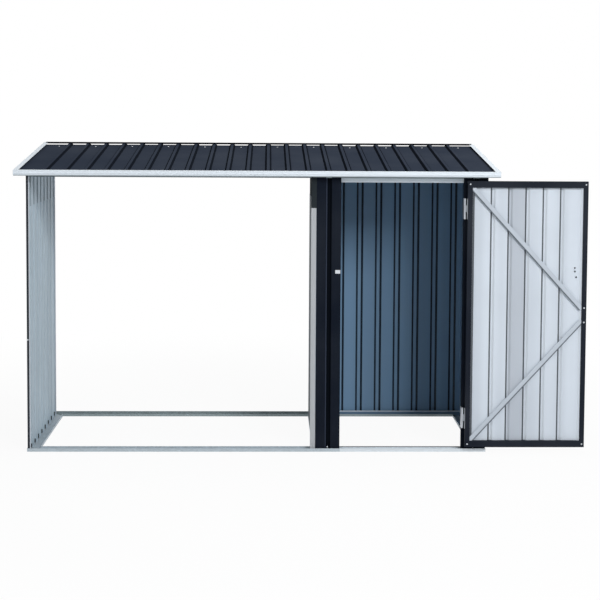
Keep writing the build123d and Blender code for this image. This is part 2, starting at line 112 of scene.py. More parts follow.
class StoreFixings(bpy.types.PropertyGroup):
    """Sizes of the screws, of the latch's nuts and of the thin trim."""
    head_radius: length("Head radius", "Radius of a pan head", 4.2 * MILLIMETRE)
    head_height: length("Head height", "Height of a pan head", 2.6 * MILLIMETRE)
    washer_radius: length("Washer radius", "Radius of the washer under a head", 6.5 * MILLIMETRE)
    washer_thickness: length("Washer thickness", "Thickness of that washer", 1.2 * MILLIMETRE)
    nut_radius: length("Nut radius", "Radius of a nut over its corners", 4.6 * MILLIMETRE)
    nut_height: length("Nut height", "Height of a nut", 3.2 * MILLIMETRE)
    wall_spacing: length("Spacing on the walls", "Distance between screws along a wall", 0.214)
    foot_inset: length("Foot inset", "Height of the lower screws over the foot of a wall", 0.040)
    pillar_inset: length("Pillar inset", "Height of a screw over the foot of a pillar", 0.018)
    lap_inset: length("Lap inset", "Distance of a screw from the edge of a lap", 0.012)
    frame_inset: length("Frame inset", "Distance of a screw from the ends of the door's stiles", 0.016)
    roof_inset: length("Roof inset", "Distance of the roof's screws from the strip at its rear", 0.058)
    hem_height: length("Hem height", "Height of the rolled hem along that strip", 10.0 * MILLIMETRE)
    hem_depth: length("Hem depth", "Depth of the rolled hem", 7.0 * MILLIMETRE)
    hem_inset: length("Hem inset", "Distance of the hem's ends from those of the strip", 12.0 * MILLIMETRE)
    skirt_height: length("Skirt height", "Height of the angle along the closet's walls", 27.0 * MILLIMETRE)
    skirt_width: length("Skirt width", "Width of that angle's top", 5.0 * MILLIMETRE)
    skirt_gauge: length("Skirt gauge", "Thickness of that angle", 1.0 * MILLIMETRE)
    skirt_rim: length("Skirt rim", "Height of the light rim along that angle's top", 6.0 * MILLIMETRE)
    skirt_gap: length("Skirt gap", "Gap between that angle and the walls", 0.5 * MILLIMETRE)
    skirt_start: length("Skirt start", "Distance of that angle from the back wall's left end", 0.030)
    skirt_front: length("Skirt front", "Distance of its front end from the front channel's middle", 0.040)


class StoreStudio(bpy.types.PropertyGroup):
    """The floor, the lamps and the camera."""
    floor_size: length("Floor size", "Side of the floor", 60.0)
    floor_colour: colour("Floor colour", "Colour of the floor", screen(240, 241, 243))
    shadow: FloatProperty(name="Shadow", description="Share that shows", default=0.06, min=0, max=1)
    ambient: FloatProperty(name="Ambient", description="Strength of the even light", default=0.32, min=0)
    key_power: lamp_power("Key lamp", "Power of the main lamp", 300.0)
    fill_power: lamp_power("Fill lamp", "Power of the second lamp", 30.0)
    top_power: lamp_power("Top lamp", "Power of the lamp above", 80.0)
    lens: FloatProperty(name="Lens", description="Focal length, in millimetres", default=82.26, min=1)
    shift: FloatProperty(name="Shift", description="Upward shift of the view", default=-0.1634)
    camera_place: FloatVectorProperty(
        name="Camera", description="Where the camera stands", default=(0.0543, -6.948, 1.7266),
        subtype="TRANSLATION"
    )
    yaw: view_angle("Yaw", "Turn to the right", 0.02286)
    pitch: view_angle("Pitch", "Tilt downwards", 0.06431)
    roll: view_angle("Roll", "Turn about the line of sight", 0.00569)


# Tones of the coats: dust, grime and zinc bloom, and painted shade and painted highlights
# Painted shade in broad bands along the ribs
FLAT_SHADE = screen(90, 102, 116)
# Painted shade on the slopes of the ribs
SLOPE_SHADE = screen(10, 14, 20)
# Painted highlight on one slope of the ribs, inside
LIT_SLOPE = screen(240, 247, 254)
# Painted shade over one bay of the door, inside
BAY_SHADE = screen(150, 156, 166)
# Painted shade inside the ribs' open feet
RIB_FOOT_SHADE = screen(6, 12, 18)
# Painted shade in the pillars' grooves, and a painted highlight on their lit slope
GROOVE_SHADE = screen(2, 5, 10)
LIT_GROOVE = screen(56, 64, 80)
# Painted shadow along a brace's lower edge
BRACE_EDGE_SHADE = screen(58, 66, 76)
BLOOM = screen(168, 176, 182)
DULL_BLOOM = screen(128, 142, 146)
RAIL_BLOOM = screen(96, 108, 112)
DOORWAY_ZINC = screen(236, 242, 247)
LIP_LINE = screen(52, 60, 68)
GRIME = screen(176, 184, 190)
# Painted shade along the fascia's foot
FASCIA_FOOT_SHADE = screen(112, 124, 130)
SKIRT_RIM = screen(206, 218, 228)
DARK_DUST = screen(90, 93, 98)

# How far a coat's roughness varies
WEAR = 0.14

# Depths of the relief on the sheets
WAVE_DEPTH = 0.5 * MILLIMETRE
GRAIN_DEPTH = 0.012 * MILLIMETRE
CRYSTAL_DEPTH = 0.02 * MILLIMETRE
MARK_DEPTH = 0.015 * MILLIMETRE

# The part of the door's width over which the sheet gets a greyer painted shade inside
SHADED_BAY_SHARES = (0.345, 0.485)

# Where the latch's nuts are, across and up from the middle of the handle
LATCH_NUTS = ((0.002, 0.027), (0.003, 0.009), (0.010, -0.020))

# How far off a ray starts that looks for a surface
LOOK_FROM = 0.5


# Materials
class Value:
    """An output of a shader node. An expression on values adds the nodes that work it out."""

    def __init__(self, finish, socket):
        self.finish = finish
        self.socket = socket

    def worked(self, operation, first, second):
        values = [part for part in (first, second) if isinstance(part, Value)]
        if any(part.socket.type in {"VECTOR", "RGBA"} for part in values):
            return self.finish.node("VectorMath", {"operation": operation}, {0: first, 1: second})
        return self.finish.node("Math", {"operation": operation}, {0: first, 1: second})

    def __add__(self, other):
        return self.worked("ADD", self, other)

    def __radd__(self, other):
        return self.worked("ADD", other, self)

    def __sub__(self, other):
        return self.worked("SUBTRACT", self, other)

    def __rsub__(self, other):
        return self.worked("SUBTRACT", other, self)

    def __mul__(self, other):
        return self.worked("MULTIPLY", self, other)

    def __rmul__(self, other):
        return self.worked("MULTIPLY", other, self)

    def __gt__(self, other):
        return self.worked("GREATER_THAN", self, other)

    def __lt__(self, other):
        return self.worked("LESS_THAN", self, other)

    def __abs__(self):
        return self.finish.node("Math", {"operation": "ABSOLUTE"}, {0: self})

    def along(self, axis):
        """How far a vector reaches along an axis."""
        settings = {"operation": "DOT_PRODUCT"}
        return self.finish.node("VectorMath", settings, {0: self, 1: axis}, output="Value")

    def between(self, low, high):
        """Rises from 0 at one value to 1 at another, with soft ends."""
        settings = {"interpolation_type": "SMOOTHSTEP"}
        return self.finish.node("MapRange", settings, {"Value": self, "From Min": low, "From Max": high})


class Finish:
    """The node tree of a material or of the world, in the making."""

    def __init__(self, owner):
        owner.use_nodes = True
        self.owner = owner
        self.tree = owner.node_tree

    def node(self, kind, settings, inputs, output=0):
        """Adds a node: its settings first, then the values or links of its sockets."""
        made = self.tree.nodes.new("ShaderNode" + kind)
        for key, value in settings.items():
            setattr(made, key, value)
        self.feed(made, inputs)
        return Value(self, made.outputs[output])

    def feed(self, node, inputs):
        """Sets the sockets of a node to numbers, colours or links."""
        for key, value in inputs.items():
            socket = node.inputs[key]
            if isinstance(value, Value):
                self.tree.links.new(value.socket, socket)
            elif socket.type == "RGBA":
                socket.default_value = (*value, 1)
            elif socket.type == "VECTOR" and isinstance(value, (int, float)):
                socket.default_value = (value, value, value)
            else:
                socket.default_value = value

    def seen(self):
        """1 for rays from the camera and those in mirrors and glass, and 0 for the light on the store."""
        kinds = ("Is Camera Ray", "Is Glossy Ray", "Is Transmission Ray")
        camera, mirrored, through = (self.node("LightPath", {}, {}, output=kind) for kind in kinds)
        return camera + mirrored + through


class Coat(Finish):
    """A material for one finish of the store."""

    def __init__(self, name):
        super().__init__(bpy.data.materials.new(name))
        self.surface = self.tree.nodes["Principled BSDF"]
        self.place = self.node("TexCoord", {}, {}, output="Object")
        self.facing = self.node("TexCoord", {}, {}, output="Normal")

    def mix(self, share, first, second):
        """A colour between two colours."""
        return self.node("Mix", {"data_type": "RGBA"}, {0: share, 6: first, 7: second}, output=2)

    def noise(self, scale, detail=3.0, stretch=(1, 1, 1)):
        """Soft noise, stretched along the axes."""
        return self.node("TexNoise", {}, {"Vector": self.place * stretch, "Scale": scale, "Detail": detail})

    def relief(self, height, depth, under=None):
        """A bump of a real depth, on another one if given."""
        inputs = {"Height": height, "Strength": 1.0, "Distance": depth}
        if under is not None:
            inputs["Normal"] = under
        return self.node("Bump", {}, inputs)

    def finished(self, **sockets):
        """Sets the surface's sockets, named with underscores for spaces, and gives the material."""
        named = {key.replace("_", " "): value for key, value in sockets.items()}
        self.feed(self.surface, named)
        return self.owner


def shaded(tone, share):
    """A colour at a share of its brightness."""
    return [part * share for part in tone]


def stretched(run, share):
    """Scales that stretch noise along a run. Where there is none, it stays even."""
    return [share if part else 1.0 for part in run]


def coat_relief(coat, run):
    """Relief of a rolled and coated sheet: slow waves, faint lines along its run and the coat's own grain."""
    waves = coat.relief(coat.noise(3.2, 1.0, stretched(run, 0.25)), WAVE_DEPTH)
    lines = coat.relief(coat.noise(90.0, 2.0, stretched(run, 0.02)), GRAIN_DEPTH, waves)
    return coat.relief(coat.noise(900.0, 2.0), GRAIN_DEPTH, lines)


def dusted(coat, tone, dust, amount):
    """A coat's colour with cloudy fading and a little dust."""
    clouds = coat.noise(2.3, 5.0).between(0.35, 0.75)
    specks = coat.noise(160.0, 3.0).between(0.55, 0.8)
    return coat.mix(clouds * amount + specks * (amount * 0.6), tone, dust)


def rolled(coat, tone, roughness, run, gloss, wear_scale=11.0):
    """The material of a rolled section in a tone: its uneven wear, the relief along its run and its gloss."""
    return coat.finished(
        Base_Color=tone,
        Roughness=roughness + coat.noise(wear_scale, 4.0) * WEAR,
        Normal=coat_relief(coat, run),
        Specular_IOR_Level=gloss,
    )


def on_slopes(coat, across, one_side=False):
    """Where the surface is the slope of a rib: it faces partly, but not fully, across the ribs."""
    tilt = coat.facing.along(across)
    if not one_side:
        tilt = abs(tilt)
    off_flat = tilt.between(0.25, 0.5)
    past_slope = tilt.between(0.85, 0.95)
    return off_flat * (1 - past_slope)


def flat_shaded(coat, tone, across, amount):
    """A colour with broad, faint darker bands along the ribs: painted shade of the sheet's uneven flats."""
    inputs = {"W": coat.place.along(across), "Scale": 7.0, "Detail": 1.0}
    band = coat.node("TexNoise", {"noise_dimensions": "1D"}, inputs)
    return coat.mix(band.between(0.4, 0.62) * amount, tone, FLAT_SHADE)


def in_span(place, start, end):
    """Where a coordinate lies from one value to another, with soft edges outside them."""
    soft = 4 * MILLIMETRE
    return place.between(start - soft, start) * (1 - place.between(end, end + soft))


def at_rib_feet(coat, wall, outward):
    """Where a wall's ribs stand open over the channel at its foot, seen from inside, for a painted shade
    there.
    """
    low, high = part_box(wall)
    flats = min(low.dot(outward), high.dot(outward))
    in_rib = (coat.place.along(outward) - flats).between(0.3 * MILLIMETRE, 1.0 * MILLIMETRE)
    over_lip = coat.place.along(Z).between(low.z + 20 * MILLIMETRE, low.z + 24 * MILLIMETRE)
    return in_rib * (1 - over_lip)


def ribbed_sheet(
    name, outward, across, run, outside, inside, dust, slope_shade=0.45, one_side=False, gloss=0.2, roughness=0.44,
    shaded_bay=None, shaded_feet=None
):
    """A ribbed sheet with one coat outside and another inside. Both colours come with their share of dust,
    and they carry a painted shade on the slopes of the ribs. If that shade is on one side of the ribs only,
    the other side gets a painted highlight inside. A greyer painted shade can lie inside over one bay, from
    one place across the sheet to another. The named wall's ribs get a painted shade inside where they stand
    open over the channel at their feet."""
    coat = Coat(name)
    is_outside = coat.facing.along(outward) > 0.1
    # Painted shade in faint bands along the ribs, inside
    inner = flat_shaded(coat, dusted(coat, inside[0], dust, inside[1]), across, 0.12)
    outer = dusted(coat, outside[0], dust, outside[1])
    if one_side:
        # Painted highlight on the other slopes of the ribs, inside
        inner = coat.mix(on_slopes(coat, -across, True) * 0.35, inner, LIT_SLOPE)
    # Painted shade over one bay, inside
    if shaded_bay:
        inner = coat.mix(in_span(coat.place.along(across), *shaded_bay) * 0.45, inner, BAY_SHADE)
    # Painted shade on the slopes of the ribs
    tone = coat.mix(on_slopes(coat, across, one_side) * slope_shade, coat.mix(is_outside, inner, outer), SLOPE_SHADE)
    # Painted shade inside the ribs where they stand open over the channel
    if shaded_feet:
        tone = coat.mix(at_rib_feet(coat, shaded_feet, outward), tone, RIB_FOOT_SHADE)
    return rolled(coat, tone, roughness, run, gloss, wear_scale=9.0)


def plain_coat(name, tone, dust, amount, roughness, run, gloss=0.1):
    """A sheet or section with one coat all round."""
    coat = Coat(name)
    return rolled(coat, dusted(coat, tone, dust, amount), roughness, run, gloss)


def strip_coat(name, colours):
    """The dull, nearly black coat of the strip along the roof's rear edge."""
    return plain_coat(name, colours.strip, colours.dust, amount=0.03, roughness=0.6, run=X, gloss=0.0)


def grooved_coat(name, tone, dust, groove_front):
    """A pillar's coat with a painted shade, nearly black, in the pillar's groove behind a depth, and a
    painted highlight on the slope that faces the light."""
    coat = Coat(name)
    in_groove = coat.place.along(Y).between(groove_front, groove_front + 4 * MILLIMETRE)
    lit_slope = on_slopes(coat, X, one_side=True)
    # Painted shade in the groove, and a painted highlight on its lit slope
    shade = coat.mix(in_groove * 0.85, dusted(coat, tone, dust, 0.03), GROOVE_SHADE)
    return rolled(coat, coat.mix(lit_slope * in_groove, shade, LIT_GROOVE), roughness=0.5, run=Z, gloss=0.02)


def post_coat(name, dark, pale, dust, edge):
    """The left wall's posts: dark outside and on the outer part of the face, pale towards the bay."""
    coat = Coat(name)
    is_dark = coat.place.along(X) < edge
    tone = coat.mix(is_dark, dusted(coat, pale, dust, 0.14), dusted(coat, dark, dust, 0.05))
    return rolled(coat, tone, roughness=0.44, run=Z, gloss=0.25)


def brace_coat(name, tone, dust, brace):
    """A brace's pale coat with a painted shadow along its lower edge. The bar runs from a corner of its box
    at the hinges to a round end that passes under the free stile."""
    half_width = 13 * MILLIMETRE
    end_inset = 7 * MILLIMETRE
    edge_width = 8 * MILLIMETRE
    edge_soft = 5 * MILLIMETRE
    coat = Coat(name)
    low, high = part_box(brace)
    upper = low.z > middle_of("door_panel").z
    corner = Vector((low.x, 0, high.z if upper else low.z))
    free_end = Vector((high.x - end_inset, 0, low.z + half_width if upper else high.z - half_width))
    slope = (free_end - corner).normalized()
    aside = Vector((-slope.z, 0, slope.x))
    below = aside.dot(corner) - coat.place.along(aside)
    edge = below.between(half_width - edge_width, half_width - edge_width + edge_soft)
    # Painted shadow along the lower edge
    edged = coat.mix(edge * 0.85, dusted(coat, tone, dust, 0.1), BRACE_EDGE_SHADE)
    return rolled(coat, edged, roughness=0.4, run=Z, gloss=0.2)


def banded_coat(name, tone, dust, band_tone, band_share, foot, height):
    """A coat with another tone from the piece's foot up to a height."""
    soft = 2 * MILLIMETRE
    coat = Coat(name)
    above = coat.place.along(Z) - foot
    band = 1 - above.between(height - soft, height + soft)
    banded = coat.mix(band * band_share, dusted(coat, tone, dust, 0.1), band_tone)
    return rolled(coat, banded, roughness=0.38, run=X, gloss=0.3)


def galvanised_sheet(name, tone, bloom_tone, doorway=None):
    """Hot-dipped zinc: flat crystals of slightly different tone, under a thin grey bloom. Past the doorway's
    edge, if one is given, it is lighter, with a dark line along its inner lip."""
    coat = Coat(name)
    warped = coat.place + coat.noise(40.0, 2.0) * 0.01
    crystal = coat.node("TexVoronoi", {}, {"Vector": warped, "Scale": 95.0}, output="Color").along(X)
    bloom = coat.noise(5.0, 5.0).between(0.35, 0.7)
    flakes = coat.mix(crystal, shaded(tone, 0.88), tone)
    shade = coat.mix(bloom * 0.22, flakes, bloom_tone)
    if doorway:
        past_doorway = coat.place.along(X).between(doorway, doorway + 2 * MILLIMETRE)
        lip = (coat.place.along(Y) > 0) * (coat.place.along(Z) > 10 * MILLIMETRE)
        shade = coat.mix(past_doorway * 0.55, shade, DOORWAY_ZINC)
        shade = coat.mix(past_doorway * lip * 0.85, shade, LIP_LINE)
    no_run = Vector((0, 0, 0))
    return coat.finished(
        Base_Color=shade,
        Roughness=0.42 + crystal * WEAR + bloom * 0.1,
        Metallic=0.3,
        Normal=coat.relief(crystal, CRYSTAL_DEPTH, coat_relief(coat, no_run)),
    )


def zinc_plate(name, tone):
    """Bright zinc plate with fine rolling marks and dull patches."""
    coat = Coat(name)
    dull = coat.noise(30.0, 4.0).between(0.4, 0.7)
    marks = coat.noise(700.0, 2.0, (1.0, 1.0, 0.08))
    return coat.finished(
        Base_Color=coat.mix(dull * 0.4, tone, shaded(tone, 0.7)),
        Roughness=0.28 + marks * 0.16 + dull * 0.12,
        Metallic=0.55,
        Normal=coat.relief(marks, MARK_DEPTH),
    )


def dress(names, material):
    """Gives a material to CAD nodes."""
    for name in names:
        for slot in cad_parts[name].material_slots:
            slot.material = material


def nodes_named(start="", end=""):
    """The CAD nodes whose names start and end with given words."""
    return sorted(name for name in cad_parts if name.startswith(start) and name.endswith(end))


def middle_of(node):
    """The middle of a node's box."""
    low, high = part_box(node)
    return (low + high) / 2


def at_width(node, share):
    """X at a share of a node's width."""
    low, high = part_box(node)
    return low.x + share * (high.x - low.x)


# Small pieces made of rings of points
class Shapes:
    """Points and faces of many small turned or bent shapes, gathered into one piece."""

    def __init__(self):
        self.points = []
        self.faces = []
        self.kinds = []

    def rings(self, place, rings, kind=0):
        """Joins rings of points, each a list in the shape's own frame, and closes both ends."""
        start = len(self.points)
        count = len(rings[0])
        for ring in rings:
            self.points += [place @ Vector(point) for point in ring]
        added = []
        for level in range(len(rings) - 1):
            low = start + level * count
            for index in range(count):
                after = (index + 1) % count
                added.append((low + index, low + after, low + count + after, low + count + index))
        added.append(tuple(range(start + count - 1, start - 1, -1)))
        last = start + (len(rings) - 1) * count
        added.append(tuple(range(last, last + count)))
        self.faces += added
        self.kinds += [kind] * len(added)

    def piece(self, name, materials, body):
        """Makes the piece and lets it ride on a body."""
        mesh = bpy.data.meshes.new(name)
        mesh.from_pydata(self.points, [], self.faces)
        for material in materials:
            mesh.materials.append(material)
        mesh.polygons.foreach_set("material_index", self.kinds)
        mesh.validate()
        mesh.shade_flat()
        made = bpy.data.objects.new(name, mesh)
        bpy.context.scene.collection.objects.link(made)
        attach(made, body)


def circle(radius, height, count=24):
    """A ring of points at a height."""
    turn = 2 * math.pi / count
    return [(radius * math.cos(turn * i), radius * math.sin(turn * i), height) for i in range(count)]


def turned(outline, radius, height, count=24):
    """Rings along an outline, whose points are shares of a radius and of a height."""
    return [circle(share * radius, level * height, count) for share, level in outline]


def cross(reach, width, height, count=24):
    """Outline of a cross-shaped recess, with as many points as the ring round it."""
    least = 1e-6
    points = []
    for index in range(count):
        angle = 2 * math.pi * index / count
        along = max(abs(math.cos(angle)), least)
        aside = max(abs(math.sin(angle)), least)
        radius = max(min(reach / along, width / aside), min(width / along, reach / aside))
        points.append((radius * math.cos(angle), radius * math.sin(angle), height))
    return points


def seat(node, start, direction):
    """Where a line meets a CAD node, and which way the surface faces there."""
    hit, place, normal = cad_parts[node].ray_cast(Vector(start), Vector(direction))[:3]
    if not hit:
        raise RuntimeError(f"{node} isn't under the point {tuple(start)}")
    return place, normal


def front_seat(node, x, z):
    """The same on the front of a node, at a place across and a height."""
    return seat(node, (x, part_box(node)[0].y - LOOK_FROM, z), Y)


def standing(place, normal, turn=0.0):
    """A frame at a place whose Z is a surface's normal."""
    upright = normal.to_track_quat("Z", "Y").to_matrix().to_4x4()
    return Matrix.Translation(place) @ upright @ Matrix.Rotation(turn, 4, "Z")


def washer(shapes, place, fixings, kind):
    """A soft washer with a bevelled rim."""
    outline = ((1, 0), (1, 0.6), (0.9, 1))
    shapes.rings(place, turned(outline, fixings.washer_radius, fixings.washer_thickness), kind)


def pan_head(shapes, place, fixings):
    """A pan head with a cross recess."""
    radius = fixings.head_radius
    height = fixings.head_height
    dome = turned(((1, 0), (1, 0.35), (0.86, 0.75), (0.62, 0.97)), radius, height)
    recess = [cross(0.5 * radius, 0.13 * radius, height), cross(0.4 * radius, 0.09 * radius, 0.35 * height)]
    shapes.rings(place, dome + recess)


def bolt_end(shapes, place, fixings, kind):
    """A hexagonal nut with the end of its bolt."""
    nut = ((0.94, 0), (1, 0.12), (1, 0.85), (0.9, 1))
    thread = ((0.5, 1), (0.5, 1.45), (0.4, 1.6))
    for outline, count in ((nut, 6), (thread, 12)):
        shapes.rings(place, turned(outline, fixings.nut_radius, fixings.nut_height, count), kind)


# Operators, one for each piece or group of like pieces
class LOGSTORE_OT_coat_walls(bpy.types.Operator):
    """Coat the wall sheets: anthracite outside, pale inside the bay and, inside the closet, a blue-grey that
    is painted shade. The divider's sheets have one coat on both faces; the divider wall's grey is painted
    shade"""
    bl_idname = "logstore.coat_walls"
    bl_label = "Coat walls"

    def execute(self, context):
        colours = context.scene.store_colours
        dust = colours.dust
        dark = (colours.anthracite, 0.06)
        bay = (colours.bay, 0.12)
        grey = (colours.divider, 0.12)
        black = (colours.divider_dark, 0.04)
        closet = (colours.closet, 0.1)
        left = ribbed_sheet("left_wall_coat", -X, Y, Z, dark, bay, dust, slope_shade=0.16, shaded_feet="left_wall")
        dress(["left_wall"], left)
        dress(["left_gable"], ribbed_sheet("left_gable_coat", -X, Y, Z, dark, bay, dust))
        # The divider wall's grey is painted shade
        dress(["divider_wall"], ribbed_sheet("divider_wall_coat", -X, Y, Z, grey, grey, dust, slope_shade=0.5))
        gable = ribbed_sheet("divider_gable_coat", -X, Y, Z, black, black, dust, slope_shade=0.3, gloss=0.05)
        dress(["divider_gable"], gable)
        # Inside the closet the blue-grey coat is painted shade
        dress(["right_wall", "right_gable"], ribbed_sheet("right_wall_coat", X, Y, Z, dark, closet, dust))
        dress(["back_wall"], ribbed_sheet("back_wall_coat", Y, X, Z, dark, closet, dust, slope_shade=0.9))
        return {"FINISHED"}


class LOGSTORE_OT_coat_frame(bpy.types.Operator):
    """Coat the pillars, the posts and the frame of the door"""
    bl_idname = "logstore.coat_frame"
    bl_label = "Coat frame"

    def execute(self, context):
        colours = context.scene.store_colours
        dust = colours.dust
        black = colours.frame_black
        groove_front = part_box("centre_pillar")[0].y + MILLIMETRE
        dress(["centre_pillar", "right_pillar"], grooved_coat("pillar_coat", black, dust, groove_front))
        stiles = nodes_named("door_", "_stile")
        dress(stiles, plain_coat("door_stile_coat", black, dust, amount=0.04, roughness=0.42, run=Z))
        rails = ["door_top_rail", "door_bottom_rail"]
        dress(rails, plain_coat("door_rail_coat", black, dust, amount=0.04, roughness=0.42, run=X))
        edge = at_width("left_front_post", 0.85)
        dress(nodes_named("left_", "_post"), post_coat("post_coat", black, colours.pale, dust, edge))
        return {"FINISHED"}


class LOGSTORE_OT_coat_roof(bpy.types.Operator):
    """Coat the roof sheets and the strip along their rear edge"""
    bl_idname = "logstore.coat_roof"
    bl_label = "Coat roof"

    def execute(self, context):
        colours = context.scene.store_colours
        top = (colours.roof, 0.05)
        under = (colours.pale, 0.1)
        coat = ribbed_sheet(
            "roof_coat", Z, X, Y, top, under, colours.dust, slope_shade=0.8, gloss=0.0, roughness=0.6
        )
        dress(nodes_named("roof_sheet"), coat)
        dress(["rear_trim"], strip_coat("rear_trim_coat", colours))
        return {"FINISHED"}


class LOGSTORE_OT_coat_trims(bpy.types.Operator):
    """Coat the white fascia, with a painted shade along its foot, and the side trims of the roof"""
    bl_idname = "logstore.coat_trims"
    bl_label = "Coat trims"

    def execute(self, context):
        white = context.scene.store_colours.trim_white
        # The fascia's foot carries a grey band of painted shade
        foot_shade_height = 5 * MILLIMETRE
        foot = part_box("front_fascia")[0].z
        dress(["front_fascia"], banded_coat("fascia_coat", white, GRIME, FASCIA_FOOT_SHADE, 0.75, foot, foot_shade_height))
        coat = plain_coat("rake_trim_coat", white, GRIME, amount=0.1, roughness=0.38, run=Y, gloss=0.4)
        dress(nodes_named(end="_rake_trim"), coat)
        return {"FINISHED"}


class LOGSTORE_OT_finish_channels(bpy.types.Operator):
    """Give the base channels and the top rails their bare galvanised finish, and the header its pale coat"""
    bl_idname = "logstore.finish_channels"
    bl_label = "Finish channels"

    def execute(self, context):
        colours = context.scene.store_colours
        zinc = colours.galvanised
        dress(["left_sill", "right_sill", "divider_sill"], galvanised_sheet("galvanised_sheet", zinc, BLOOM))
        rails = [name for name in nodes_named(end="_rail") if not name.startswith("door_")]
        dull = galvanised_sheet("dull_galvanised_sheet", colours.dull_galvanised, DULL_BLOOM)
        dress(rails + ["rear_sill"], dull)
        dress(["front_top_rail"], galvanised_sheet("front_rail_sheet", colours.rail_grey, RAIL_BLOOM))
        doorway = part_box("centre_pillar")[1].x
        dress(["front_sill"], galvanised_sheet("front_sill_sheet", zinc, BLOOM, doorway))
        header = plain_coat(
            "header_coat", colours.header_white, BLOOM, amount=0.1, roughness=0.4, run=X, gloss=0.2
        )
        dress(["door_header"], header)
        return {"FINISHED"}


class LOGSTORE_OT_coat_door(bpy.types.Operator):
    """Coat the door's sheet, dark outside and pale inside, and finish its braces, hinges, keeper and
    handle"""
    bl_idname = "logstore.coat_door"
    bl_label = "Coat door"

    def execute(self, context):
        colours = context.scene.store_colours
        dust = colours.dust
        dark = (colours.anthracite, 0.06)
        pale = (colours.pale, 0.1)
        # The bay inside the door that gets a greyer painted shade
        dull = [at_width("door_panel", share) for share in SHADED_BAY_SHARES]
        sheet = ribbed_sheet(
            "door_coat", Y, X, Z, dark, pale, dust, slope_shade=0.85, one_side=True, shaded_bay=dull
        )
        dress(["door_panel"], sheet)
        for brace in nodes_named("door_", "_brace"):
            dress([brace], brace_coat(f"{brace}_coat", colours.brace, dust, brace))
        dress(nodes_named(end="_leaf") + ["keeper_plate"], zinc_plate("zinc_plate", colours.zinc))
        handle = plain_coat(
            "handle_coat", colours.handle_black, DARK_DUST, amount=0.05, roughness=0.22, run=Z, gloss=0.5
        )
        dress(["door_handle"], handle)
        return {"FINISHED"}


class LOGSTORE_OT_strip_hem(bpy.types.Operator):
    """Roll a hem along the front edge of the strip at the roof's rear"""
    bl_idname = "logstore.strip_hem"
    bl_label = "Strip hem"

    def execute(self, context):
        colours = context.scene.store_colours
        fixings = context.scene.store_fixings
        low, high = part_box("rear_trim")
        clear = 0.1
        edge_inset = 4 * MILLIMETRE
        lift = 1 * MILLIMETRE
        place = seat("rear_trim", (low.x + clear, low.y + edge_inset, high.z + clear), -Z)[0]
        start = Matrix.Translation((low.x, place.y, place.z + lift))
        axis = start @ Matrix.Rotation(math.pi / 2, 4, "Y")
        oval = [(-y * fixings.hem_height / 2, x * fixings.hem_depth / 2) for x, y, _ in circle(1.0, 0, 16)]
        inset = fixings.hem_inset
        shapes = Shapes()
        shapes.rings(axis, [[(x, y, end) for x, y in oval] for end in (inset, high.x - low.x - inset)])
        shapes.piece("rear_trim_hem", [strip_coat("strip_hem_coat", colours)], "shed")
        return {"FINISHED"}


class LOGSTORE_OT_closet_skirt(bpy.types.Operator):
    """Stand an angle in front of the feet of the closet's back and right walls"""
    bl_idname = "logstore.closet_skirt"
    bl_label = "Closet skirt"

    def execute(self, context):
        colours = context.scene.store_colours
        fixings = context.scene.store_fixings
        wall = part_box("back_wall")[0]
        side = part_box("right_wall")[0]
        on_sill = (at_width("back_wall", 0.5), wall.y - 10 * MILLIMETRE, LOOK_FROM)
        foot = seat("rear_sill", on_sill, -Z)[0].z
        height = fixings.skirt_height
        width = fixings.skirt_width
        gauge = fixings.skirt_gauge
        section = [
            (0, 0), (0, height), (width, height), (width, height - gauge), (gauge, height - gauge), (gauge, 0)
        ]
        back = wall.y - width - fixings.skirt_gap
        right = side.x - width - fixings.skirt_gap
        shapes = Shapes()
        for ends in (
            [[(x, back + y, foot + z) for y, z in section] for x in (wall.x + fixings.skirt_start, right)],
            [[(right + x, y, foot + z) for x, z in section] for y in (back + gauge, fixings.skirt_front)],
        ):
            shapes.rings(Matrix.Identity(4), ends)
        # The angle's face below its rim is a darker copy of the closet's painted shade: painted shade
        below = shaded(colours.closet, 0.7)
        rim_foot = height - fixings.skirt_rim
        coat = banded_coat("closet_skirt_coat", SKIRT_RIM, colours.dust, below, 1.0, foot, rim_foot)
        shapes.piece("closet_skirt", [coat], "shed")
        return {"FINISHED"}


def roof_pitch():
    """Distance between the roof's ribs, from two sheets that start a whole number of ribs apart."""
    ribs_apart = 8
    return (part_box("roof_sheet_4")[0].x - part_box("roof_sheet_2")[0].x) / ribs_apart


def roof_seat(x, y):
    """The top of whichever roof sheet is highest at a place in plan, and which way it faces there."""
    above_roof = 3.0
    found = []
    for name in nodes_named("roof_sheet"):
        hit, place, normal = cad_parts[name].ray_cast(Vector((x, y, above_roof)), -Z)[:3]
        if hit:
            found.append((place.z, place, normal))
    if not found:
        raise RuntimeError(f"no roof sheet is under ({x}, {y})")
    return max(found, key=lambda item: item[0])[1:]


class LOGSTORE_OT_roof_screws(bpy.types.Operator):
    """Put screws with soft washers across the roof, a little in front of the strip at its rear"""
    bl_idname = "logstore.roof_screws"
    bl_label = "Roof screws"

    def execute(self, context):
        colours = context.scene.store_colours
        fixings = context.scene.store_fixings
        shapes = Shapes()
        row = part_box("rear_trim")[0].y - fixings.roof_inset
        pitch = roof_pitch()
        last_rib = 11
        for rib in range(-last_rib, last_rib + 1, 2):
            place, normal = roof_seat(rib * pitch, row)
            head = standing(place, normal, rib)
            washer(shapes, head, fixings, 1)
            pan_head(shapes, head @ Matrix.Translation((0, 0, fixings.washer_thickness)), fixings)
        metal = zinc_plate("roof_screw_plate", colours.zinc)
        rubber = plain_coat(
            "washer_rubber", colours.washer_black, DARK_DUST, amount=0.1, roughness=0.6, run=Z, gloss=0.2
        )
        shapes.piece("roof_screws", [metal, rubber], "shed")
        return {"FINISHED"}


